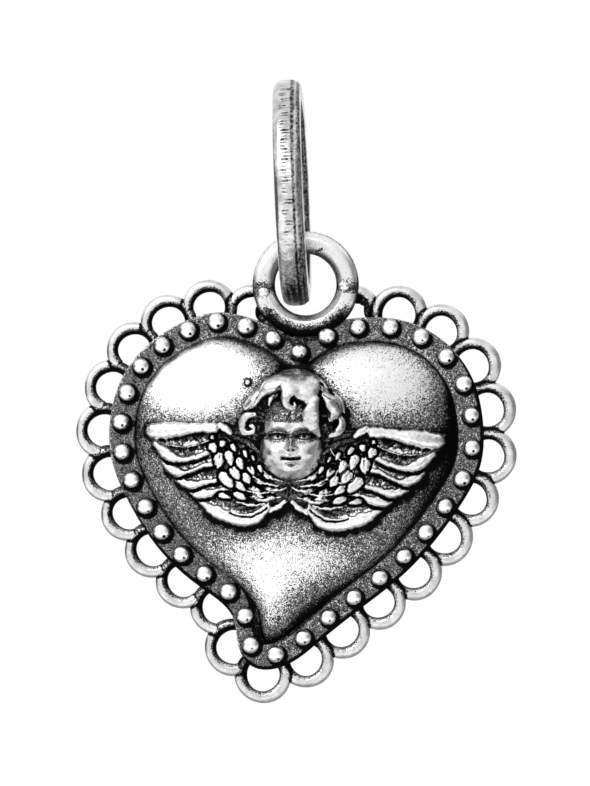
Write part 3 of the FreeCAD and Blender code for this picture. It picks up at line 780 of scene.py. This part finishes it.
# Wings, drawn once outwards from the root and set on the dome at both sides
wings = {"root": (-0.135, -20.68), "cell": 0.042, "scale": (1.0, 1.04), "tilt": (0.0, -5.2),
         "sink": 0.28, "step": (0.0674, 0.0674), "corner": (0, 0), "low": (-1.2, -2.2),
         "high": (10.4, 6.2), "ragged": 0.022, "limit": -0.12}
wing = Relief(wings)
# dark ground that joins the feathers, up to the arm and in under the head
for path, wide, base in ((((8, 24), (24, 38), (44, 52), (66, 62)), (1.2, 1.9, 1.6, 0.8), 0.10),
                         (((10, 8), (34, 24), (62, 42), (80, 56)), (0.8, 1.6, 1.4, 0.9), 0.12),
                         (((4, 2), (30, 4), (60, 2), (84, 4)), (0.4, 1.0, 1.2, 0.5), 0.10)):
    wing.lock(path, wide, (base, base), 0.12, grooves=7, depth=0.05, tone=0.22)
feathers = (
    # path of the ridge from the tip inwards, height at the tip and at the inner end
    (((90, 2), (80, -6.5), (66, -14), (52, -20), (38, -20.5), (26, -14), (20, -7)), 0.60, 0.62),
    (((99.5, 12.5), (92, 6.5), (83, 6), (70, 9.5), (58, 13), (48, 16)), 0.60, 0.40),
    (((112, 22), (104, 16.5), (95, 15.5), (83, 18), (71, 20), (62, 25)), 0.66, 0.46),
    (((124, 37.5), (117, 29.5), (107.5, 27.5), (95, 30), (85, 34.5), (75, 36)), 0.72, 0.52),
    (((134, 56), (126.5, 49.5), (116.5, 42.5), (104, 40.5), (91.5, 43), (80.5, 48)), 0.78, 0.56))
wing.feather(((141, 70), (132, 60), (120, 55), (106, 53), (92, 55), (78, 61)),
             (0.16, 0.10, 0.07, 0.07, 0.08, 0.10), (0.5, 1.1, 1.3, 1.1, 0.6), 0.15,
             (0.6, 0.5, 0.42, 0.42, 0.45), (0.8, 0.3, 0.45, 0.25, 0.5, 0.5))
for k, (path, tip, inner) in enumerate(feathers):
    lowest = k == 0
    wing.feather(path, (0.24, 0.36, 0.42, 0.42, 0.34, 0.20) if lowest else
                 (0.24, 0.36, 0.36, 0.22, 0.17, 0.22, 0.26), (0.6, 0.85, 0.9, 0.85, 0.7), 0.16,
                 (tip * 0.9, tip, (tip + inner) / 2, inner),
                 (1.1, 1.1, 1.1, 1.1, 1.0) if lowest else
                 (1.1, 1.1, 1.1, 0.62 + 0.1 * k, 0.9, 0.60, 1.05, 1.05))
# lower crescent: its second band, the dark line between, painted as the band's shadow, and the
# small joint at its end
wing.feather(((60, -11), (50, -14), (38, -14.5), (27, -9), (20, -4)),
             (0.04, 0.12, 0.15, 0.16, 0.12), (0.3, 0.5, 0.5, 0.4), 0.16,
             (0.40, 0.50, 0.54, 0.54), (0.6, 0.8, 1.0, 1.0), gap=0.05)
wing.lock(((19, -11), (11, -7), (4, -2)), (0.16, 0.26, 0.18), (0.2, 0.3), 0.42, grooves=2,
          depth=0.06)
# the arm and its short inner joint
wing.lock(((136, 69), (126, 69), (114, 70), (101, 71), (89, 72), (74.5, 71.5)),
          (0.52, 0.64, 0.54, 0.40, 0.35, 0.40), (0.32, 0.36), 0.58, tone=1.2)
wing.lock(((67, 74), (62, 70.5), (57.5, 66.5)), (0.24, 0.30, 0.16), (0.4, 0.4), 0.5)
coverts = (
    # place, half length and half width in steps, and turn of the lower end
    (76, 62.5, 2.6, 2.4, 200), (75.2, 52, 5.6, 4.2, 290), (66, 56, 4.2, 3.2, 250),
    (69.2, 39.4, 8.6, 5.2, 262), (58.6, 42, 8.0, 4.3, 282), (54.5, 52, 5.0, 2.8, 305),
    (48.4, 36.5, 7.2, 3.8, 292), (53, 27, 7.8, 4.8, 304), (61.6, 20, 10.6, 5.2, 308),
    (41.6, 21.5, 7.4, 4.2, 300), (37, 30, 6.8, 3.2, 300), (48.2, 14, 7.4, 3.8, 320),
    (30, 18.5, 5.2, 3.0, 325), (34, 11.5, 7.0, 2.8, 340), (47.5, 4.0, 8.2, 3.4, 335),
    (31, 4, 7.6, 2.4, 350), (20, 11, 5.6, 2.4, 345), (64, 4, 7.0, 2.6, 345),
    (19, 3, 6.6, 2.2, 355), (28, 31, 4.8, 2.4, 290), (43, 46, 4.8, 2.4, 290),
    (22, 24, 4.6, 2.2, 305), (35, 42, 4.0, 2.0, 290))
for u, v, longHalf, wideHalf, turn in sorted(coverts, key=lambda c: c[1]):
    wing.drop((u, v), (longHalf, wideHalf), 540 - turn, 0.30,
              0.34 + 0.10 * bell(u - 50, 30), 0.34 + 0.50 * smoothStep(26, 54, u))
# fine plumes that run in under the chin
for path in (((44, 10), (30, 7), (14, 8)), ((40, 4), (26, 0), (8, 3)),
             ((36, 24), (24, 17), (10, 14)), ((26, 30), (16, 22), (6, 19)),
             ((52, -1), (38, -5), (24, -3)), ((22, 12), (12, 10), (2, 12))):
    wing.lock(path, (0.05, 0.11, 0.05), (0.34, 0.40, 0.36), 0.14, tone=0.85)
wing.height += 0.008 * evenBlur(rng.standard_normal(wing.height.shape), 1.2)
wingHeight, wingWearAndShadows = wing.finished(0.030, ((0.13, 2.2), (0.40, 0.5)))
wingKeep = keptCells(wingHeight, wings["limit"])
figureEdge = []
for side, name, node, grown, tilt in zip((-1, 1), ("leftWing", "rightWing"),
                                         ("left_wing", "right_wing"), wings["scale"],
                                         wings["tilt"]):
    a = math.radians(tilt)
    u, v = wing.u * grown, wing.v * grown
    x = wings["root"][0] + side * (u * math.cos(a) - v * math.sin(a))
    z = wings["root"][1] + u * math.sin(a) + v * math.cos(a)
    ground = plateFront - domeHeight(x, z)
    figureEdge.append(figurePlaces(x, z, wingHeight))
    shell = reliefShell(np.stack([x, ground - wingHeight, z], -1),
                        np.stack([x, ground + wings["sink"], z], -1), wingWearAndShadows, wingKeep)
    putMesh(name, [shell], "heart", [node], finishes["figure"])


# Cherub head
head = {"place": (0.067, -16.356), "cell": 0.036, "crown": 2.30, "skullHalf": 3.05,
        "faceHalf": 2.14, "eyeSide": 0.92, "sink": 0.9, "low": (-4.0, -3.5), "high": (4.4, 5.0),
        "ragged": 0.010, "limit": -0.25, "step": (0.005617, -0.005617),
        "corner": (-4.111, 4.981)}
cherub = Relief(head)
u, v = cherub.u, cherub.v


def bumps(*rows):
    # soft bumps of a side, a level, a half width, a half height and a rise; one that is off the
    # middle stands on both sides
    return sum(rise * bell(u - s * side, wide) * bell(v - level, high)
               for side, level, wide, high, rise in rows for s in ((-1, 1) if side else (0,)))


# black ground behind the hair, fading away beside the cheeks
skullAway = (np.abs(u - 0.05) / head["skullHalf"]) ** 2.2 \
    + (np.abs(v - 0.95) / head["skullHalf"]) ** 2.2
skull = 1.15 * np.clip(1 - skullAway, 0, 1) ** 0.42 * (0.35 + 0.65 * smoothStep(-1.6, 0.6, v))
cherub.paint(skullAway < 1, skull, -0.10 + 0.16 * cherub.mottle)
# face: a round child's face, on the usual proportions of a cherub
cheeks = (u / head["faceHalf"]) ** 2 + ((v + 0.90) / head["faceHalf"]) ** 2
forehead = (np.abs(u) / 2.0) ** 2.2 + (np.abs(v - 0.75) / 2.35) ** 2.2
faceAway = np.minimum(cheeks, forehead)
face = 1.75 * np.clip(1 - cheeks, 0, 1) ** 0.42
face = softMax(face, 1.72 * np.clip(1 - forehead, 0, 1) ** 0.42, 0.12)
tone = 1.0 - 0.9 * smoothStep(0.86, 1.0, faceAway) - 0.72 * smoothStep(0.66, 1.05, v) \
    + 0.10 * cherub.mottle * smoothStep(0.5, 1.0, v) - 0.25 * smoothStep(1.7, 2.6, v)
# forehead and chin, cheek, the eye's hollow and ball, the nose and its wing, the mouth's sides,
# the nose's tip, the dip below it, the lower lip and the dip over the chin
face += bumps((0, 1.50, 1.5, 0.7, 0.12), (0, -2.36, 0.62, 0.40, 0.26),
              (1.15, -1.25, 0.74, 0.72, 0.32), (0.92, 0.0, 0.66, 0.40, -0.46),
              (0.92, -0.05, 0.40, 0.28, 0.44), (0.27, -0.80, 0.16, 0.13, 0.24),
              (0.16, -0.95, 0.09, 0.06, -0.3), (0.17, -1.36, 0.18, 0.09, 0.15),
              (0.56, -1.50, 0.13, 0.13, -0.22), (0, -0.76, 0.29, 0.25, 0.36),
              (0, -1.16, 0.09, 0.12, -0.07), (0, -1.73, 0.30, 0.12, 0.26),
              (0, -1.98, 0.38, 0.10, -0.14))
# dark round the eye, in the nostril, beside the nose, in the mouth's corner and under the lip
tone += bumps((0.94, 0.02, 0.74, 0.42, -1.7), (0.17, -0.97, 0.09, 0.055, -1.2),
              (0.46, -0.88, 0.08, 0.14, -0.35), (0.55, -1.51, 0.11, 0.10, -1.1),
              (0, -1.97, 0.32, 0.07, -0.9))
for s in (-1, 1):
    # both lids, the opening with its pupil, and the brow
    fromEye = u - s * head["eyeSide"]
    lid = 0.13 - 0.42 * fromEye ** 2
    low = -0.24 + 0.34 * fromEye ** 2
    brow = 0.62 - 0.26 * (u - s * 0.80) ** 2
    browSide = bell(u - s * 0.90, 0.66, 4)
    opening = smoothStep(0.0, 0.06, lid - v) * smoothStep(0.0, 0.06, v - low)
    face += 0.13 * bell(v - lid - 0.09, 0.08) * bell(fromEye, 0.52, 4) \
        + 0.07 * bell(v - low + 0.07, 0.07) * bell(fromEye, 0.46, 4) \
        + 0.17 * bell(v - brow, 0.18) * browSide - 0.10 * opening
    tone += 1.25 * opening * bell(fromEye, 0.42, 4) \
        + 0.75 * bell(v - lid - 0.11, 0.06) * bell(fromEye, 0.50, 4) \
        + 0.45 * bell(v - low + 0.09, 0.06) * bell(fromEye, 0.46, 4) \
        - 1.2 * bell(np.hypot(u - s * 0.88, v + 0.04), 0.11, 4) \
        - bell(v - lid, 0.045) * bell(fromEye, 0.50, 6) + 0.60 * bell(v - brow, 0.17) * browSide
bridge = 0.10 + 0.34 * smoothStep(0.35, -0.80, v)
face += bridge * bell(u, 0.20) * smoothStep(0.55, 0.1, v) * smoothStep(-0.88, -0.76, v)
lips = -1.54 + 0.07 * u ** 2 - 0.03 * bell(u, 0.12)
face -= 0.30 * bell(v - lips, 0.07) * bell(u, 0.48, 4)
tone -= 1.3 * bell(v - lips, 0.055) * bell(u, 0.50, 4)
cherub.paint(faceAway < 1, face, tone)
locks = (
    # path in small steps, rightwards and down from the head's upper left, half widths, heights
    # of its foot, rise, grooves, and depth of its dark rim
    (((640, 130), (480, 205), (350, 310), (240, 420), (160, 520)), (0.10, 0.13, 0.12, 0.14, 0.10),
     (0.7, 0.5, 0.3), 0.4, 0, 1.0),
    (((600, 125), (760, 105), (900, 130), (1060, 215), (1160, 320)), (0.08, 0.13, 0.15, 0.16, 0.10),
     (0.5, 0.6, 0.5), 0.4, 0, 1.0),
    (((820, 150), (960, 225), (1110, 350), (1230, 460), (1320, 600)),
     (0.14, 0.22, 0.22, 0.20, 0.12), (0.8, 0.7, 0.45, 0.3), 0.4, 2, 1.0),
    (((1230, 370), (1320, 470), (1362, 620)), (0.10, 0.17, 0.08), (0.3, 0.3), 0.35, 0, 1.0),
    (((560, 395), (500, 440), (470, 520)), (0.16, 0.22, 0.12), (1.0, 1.0, 1.2), 0.35, 1, 1.0),
    (((345, 400), (275, 480), (185, 555)), (0.38, 0.46, 0.24), (0.75, 0.6, 0.45), 0.5, 2, 0.8),
    (((300, 635), (195, 655), (140, 750), (170, 850), (262, 850)), (0.16, 0.30, 0.31, 0.28, 0.18),
     (0.6, 0.5, 0.45, 0.5), 0.5, 0, 1.0),
    (((262, 850), (290, 795), (235, 765)), (0.18, 0.17, 0.11), (0.5, 0.6), 0.45, 0, 1.0),
    (((1020, 455), (972, 590), (972, 720), (1068, 885)), (0.30, 0.58, 0.56, 0.14),
     (1.6, 1.55, 1.35, 1.1), 0.45, 0, 1.0),
    (((1120, 400), (1200, 490), (1240, 600), (1180, 700)), (0.24, 0.54, 0.56, 0.24),
     (1.1, 0.95, 0.7, 0.5), 0.55, 1, 0.8),
    (((1300, 640), (1335, 750), (1285, 850), (1180, 890)), (0.16, 0.31, 0.36, 0.14),
     (0.45, 0.45, 0.45), 0.5, 1, 1.0),
    (((800, 185), (865, 260), (905, 335), (940, 400), (965, 450)), (0.50, 0.92, 1.08, 0.92, 0.56),
     (1.35, 1.45, 1.45, 1.35), 0.55, 0, 0.9),
    (((780, 175), (620, 235), (480, 300), (355, 405)), (0.36, 0.60, 0.62, 0.28),
     (1.35, 1.3, 1.1, 0.8), 0.55, 1, 0.8),
    (((800, 170), (740, 280), (700, 390), (675, 470), (705, 535), (772, 548), (770, 490)),
     (0.46, 0.76, 0.70, 0.46, 0.30, 0.22, 0.10), (1.45, 1.6, 1.65, 1.7, 1.65), 0.5, 0, 0.5))
for path, wide, foot, rise, grooves, rim in locks:
    cherub.lock(path, wide, foot, rise, grooves, depth=0.05, tone=0.82, rim=rim,
                blend=0.03 if rim > 0.6 else 0.10)
# the small ribbon end beside the chin
cherub.lock(((1390, 1265), (1375, 1340), (1370, 1410)), (0.36, 0.50, 0.34), (0.18, 0.18), 0.22, 1,
            tone=0.34)
cherub.lock(((1195, 1040), (1250, 1130), (1330, 1190), (1370, 1250), (1300, 1290), (1260, 1380),
             (1290, 1445), (1400, 1445), (1475, 1400), (1470, 1310), (1400, 1225)),
            (0.09, 0.10, 0.10, 0.12, 0.09), (0.42, 0.42, 0.40), 0.18)
cherub.height += 0.006 * evenBlur(rng.standard_normal(u.shape), 1.3)
# the head rounds away towards its crown
rounded = np.clip(1 - (np.maximum(v - 0.95, 0) / 3.3) ** 2 - (np.abs(u) / 3.9) ** 4, 0, 1) ** 0.5
cherub.height = np.where(cherub.height > 0, cherub.height * (0.3 + 0.7 * rounded), cherub.height)
headHeight, headWear = cherub.finished(0.032, ((0.14, 1.5), (0.5, 0.35)))
x, z = head["place"][0] + u, head["place"][1] + v
ground = plateFront - domeHeight(x, z)
crownDepth = plateFront - head["crown"]
figureEdge = np.concatenate(figureEdge + [figurePlaces(x, z, headHeight)])
# the relief stands on the dome at its rim and on the crown's level where it is high
raised = smoothStep(0.0, 1.5, headHeight)
top = np.where(headHeight > 0, ground * (1 - raised) + crownDepth * raised, ground) - headHeight
shell = reliefShell(np.stack([x, top, z], -1), np.stack([x, ground + head["sink"], z], -1),
                    headWear, keptCells(headHeight, head["limit"]))
putMesh("cherubHead", [shell], "heart", ["cherub_head"], finishes["head"])


# Dome
burnishedAndHighlit = (
    # middle, half widths, gain and flatness of the places that are rubbed bright, which also stand
    # in as painted highlights
    ((-6.3, -12.2), (4.6, 3.0), 0.88, 4), ((6.0, -12.0), (4.6, 3.0), 0.72, 4),
    ((-1.0, -24.9), (4.2, 2.2), 0.38, 4), ((-1.5, -27.6), (1.4, 2.4), 0.50, 2),
    ((0.2, -23.6), (6.5, 2.4), 0.18, 4), ((-9.0, -18.6), (1.6, 4.0), 0.15, 2))
turns = np.linspace(-math.pi, math.pi, dome["around"], endpoint=False)[None]
# from the foot, where the contours lie closest, to the crown
levels = 1 - np.linspace(0, 1, dome["levels"])[:, None] ** 1.6 * 0.995
reach = levelReach(levels, turns)
depth = plateFront - levelHeight(levels) + 0 * turns
front = np.stack([domeCentre[0] + reach * np.cos(turns), depth,
                  domeCentre[1] + reach * np.sin(turns)], -1)
# its flat underside lies a little inside the plate
under = [upright(domeCentre + (front[0][:, ::2] - domeCentre) * share, plateFront + 0.05)
         for share in (0.02, 0.5, 1)]
points, faces = tubeSkin(np.concatenate([np.stack(under), front]))
x, z = points[:, 0], points[:, 2]
height = plateFront - points[:, 1]
# distance to the figure's painted shadow, a little below and to the right of it; in parts, to spare
# memory
shadowPlaces = figureEdge + (0.14, -0.18)
near = np.concatenate([nearest(part, shadowPlaces)
                       for part in np.array_split(points[:, ::2], dome["parts"])])
# painted shade in the crease at its foot: black, except at the upper left where the light falls in
bearing = np.arctan2(z - domeCentre[1], x - domeCentre[0]) - math.radians(148)
bearing = (bearing + math.pi) % (2 * math.pi) - math.pi
creaseShade = 1 - 0.85 * bell(bearing, 1.2)
wearAndPaintedLight = 0.16 * smoothStep(0.1, 1.6, height) + 0.06 - 0.36 * creaseShade * bell(height, 0.75)
for place, spread, gain, flatness in burnishedAndHighlit:
    away = np.hypot((x - place[0]) / spread[0], (z - place[1]) / spread[1])
    wearAndPaintedLight += gain * bell(away, 1, flatness)
# painted shadow of the figure round it, black at the foot, darker in the valley under the notch,
# and a painted shadow ring round the stray grain
wearAndPaintedLight -= 0.55 * bell(near, 0.26) + 0.14 * bell(near, 0.8) + 0.7 * bell(height, 0.14) \
    + 0.26 * bell(near, 1.5) * bell(x + 0.8, 4.0) \
    + 0.55 * bell(x - 0.45, 0.9) * smoothStep(-13.2, -11.2, z) \
    + 0.9 * bell(np.hypot(x - stray[0], z - stray[1]) - 0.20, 0.16)
putMesh("heartDome", [(points, faces, wearAndPaintedLight)], "heart", ["heart_dome"],
        finishes["dome"])


# Studio
def seenDirectly(tree):
    # 1 on rays from the camera, off a mirror-like face or through glass
    ray = tree.nodes.new("ShaderNodeLightPath").outputs
    mirrored = maths(tree, "MAXIMUM", ray["Is Glossy Ray"], ray["Is Transmission Ray"])
    return maths(tree, "MAXIMUM", ray["Is Camera Ray"], mirrored)


def stageMaterial(name, colour, glow):
    # diffuse, with an even glow that only the camera and mirror-like rays see
    material = bpy.data.materials.new(name)
    material.use_nodes = True
    tree = material.node_tree
    tree.nodes.remove(tree.nodes["Principled BSDF"])
    strength = maths(tree, "MULTIPLY", seenDirectly(tree), glow)
    both = addNode(tree, "AddShader", {0: addNode(tree, "BsdfDiffuse", {"Color": colour}),
                                       1: addNode(tree, "Emission", {"Strength": strength})})
    feed(tree, tree.nodes["Material Output"], {"Surface": both})
    return material


def disc(centre, radius, height, corners=96):
    # a flat round sheet, its height counted from the charm's lowest point
    turn = turnsOf(corners)
    points = np.stack([centre[0] + radius * np.cos(turn), centre[1] + radius * np.sin(turn),
                       np.full(corners, cadLow.z / millimetre + height)], -1)
    return points, [list(range(corners))]


def stageSheet(name, points, faces, material, reflectedOnly=True):
    # a floor or a card of the studio, which isn't part of the charm
    mesh = bpy.data.meshes.new(name)
    mesh.from_pydata((points * millimetre).tolist(), [], faces)
    mesh.materials.append(material)
    sheet = putObject(name, mesh)
    if reflectedOnly:
        sheet.visible_camera = sheet.visible_diffuse = sheet.visible_shadow = False
    sheet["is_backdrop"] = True


floor = {"drop": 45.0, "radius": 900.0}
stageSheet("floor", *disc((0, 0), floor["radius"], -floor["drop"]),
           stageMaterial("paleFloor", greyTone(0.85), 0.8), False)

world = bpy.data.worlds.new("studio")
bpy.context.scene.world = world
world.use_nodes = True
tree = world.node_tree
strength = addNode(tree, "MapRange", {"Value": seenDirectly(tree), "To Min": 0.35, "To Max": 1.0},
                   "Result")
feed(tree, tree.nodes["Background"], {"Color": greyTone(1), "Strength": strength})
viewMiddle = np.array((0.2, 0.0, -13.5))


def lookIn(name, data, azimuth, elevation, distance):
    # sets a camera or a lamp at a distance from the charm's middle and turns it there
    item = putObject(name, data)
    a, e = math.radians(azimuth), math.radians(elevation)
    away = np.array((math.sin(a) * math.cos(e), -math.cos(a) * math.cos(e), math.sin(e)))
    item.location = (viewMiddle + away * distance) * millimetre
    item.rotation_euler = (math.pi / 2 - e, 0, a)
    return item


def softbox(name, azimuth, elevation, distance, size, radiance):
    # square lamp whose power gives the wanted brightness of its face
    lamp = bpy.data.lights.new(name, "AREA")
    lamp.shape = "RECTANGLE"
    lamp.size, lamp.size_y = (side * millimetre for side in size)
    lamp.energy = radiance * math.pi * lamp.size * lamp.size_y
    lookIn(name, lamp, azimuth, elevation, distance)


def flag(name, azimuths, elevations, distance, shade, rows=9, columns=13):
    # dark curved card that only the charm's reflections show, as a studio's black flags do:
    # a patch of a sphere round the charm between two azimuths and two elevations
    a = np.radians(np.linspace(*azimuths, columns))[None]
    e = np.radians(np.linspace(*elevations, rows))[:, None]
    patch = np.stack([np.sin(a) * np.cos(e), -np.cos(a) * np.cos(e), np.sin(e) + 0 * a], -1)
    stageSheet(name, viewMiddle + distance * patch.reshape(-1, 3),
               faceGrid(rows, columns, False).tolist(), stageMaterial(name, greyTone(0), shade))


camera = {"azimuth": 2.0, "elevation": 0.0, "distance": 420.0, "height": 53.0, "sensor": 36,
          "clip": (0.01, 10)}
shot = bpy.data.cameras.new("camera")
shot.sensor_width = camera["sensor"]
shot.lens = camera["sensor"] * camera["distance"] / camera["height"]
shot.clip_start, shot.clip_end = camera["clip"]
bpy.context.scene.camera = lookIn("camera", shot, camera["azimuth"], camera["elevation"],
                                  camera["distance"])
softbox("keyBox", -42, 40, 300, (280, 240), 1.35)
softbox("frontBox", -8, 30, 420, (200, 120), 1.1)
flag("flagRight", (44, 150), (-15, 34), 230, 0.32)
flag("flagRightSoft", (27, 44), (-15, 24), 230, 0.74)
flag("flagLeft", (-150, -75), (-15, 12), 230, 0.15)
flag("flagDot", (0, 18), (-66, -52), 62, 0.0)
# the dark table top that the underside mirrors, just over the floor and mostly behind
tableTop = {"centre": (60, 350), "radius": 380, "over": 1.5, "shade": 0.42}
stageSheet("flagTable", *disc(tableTop["centre"], tableTop["radius"],
                              tableTop["over"] - floor["drop"]),
           stageMaterial("flagTable", greyTone(0), tableTop["shade"]))
bpy.context.scene.view_settings.view_transform = "Standard"
print("studio ready")

low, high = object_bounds()
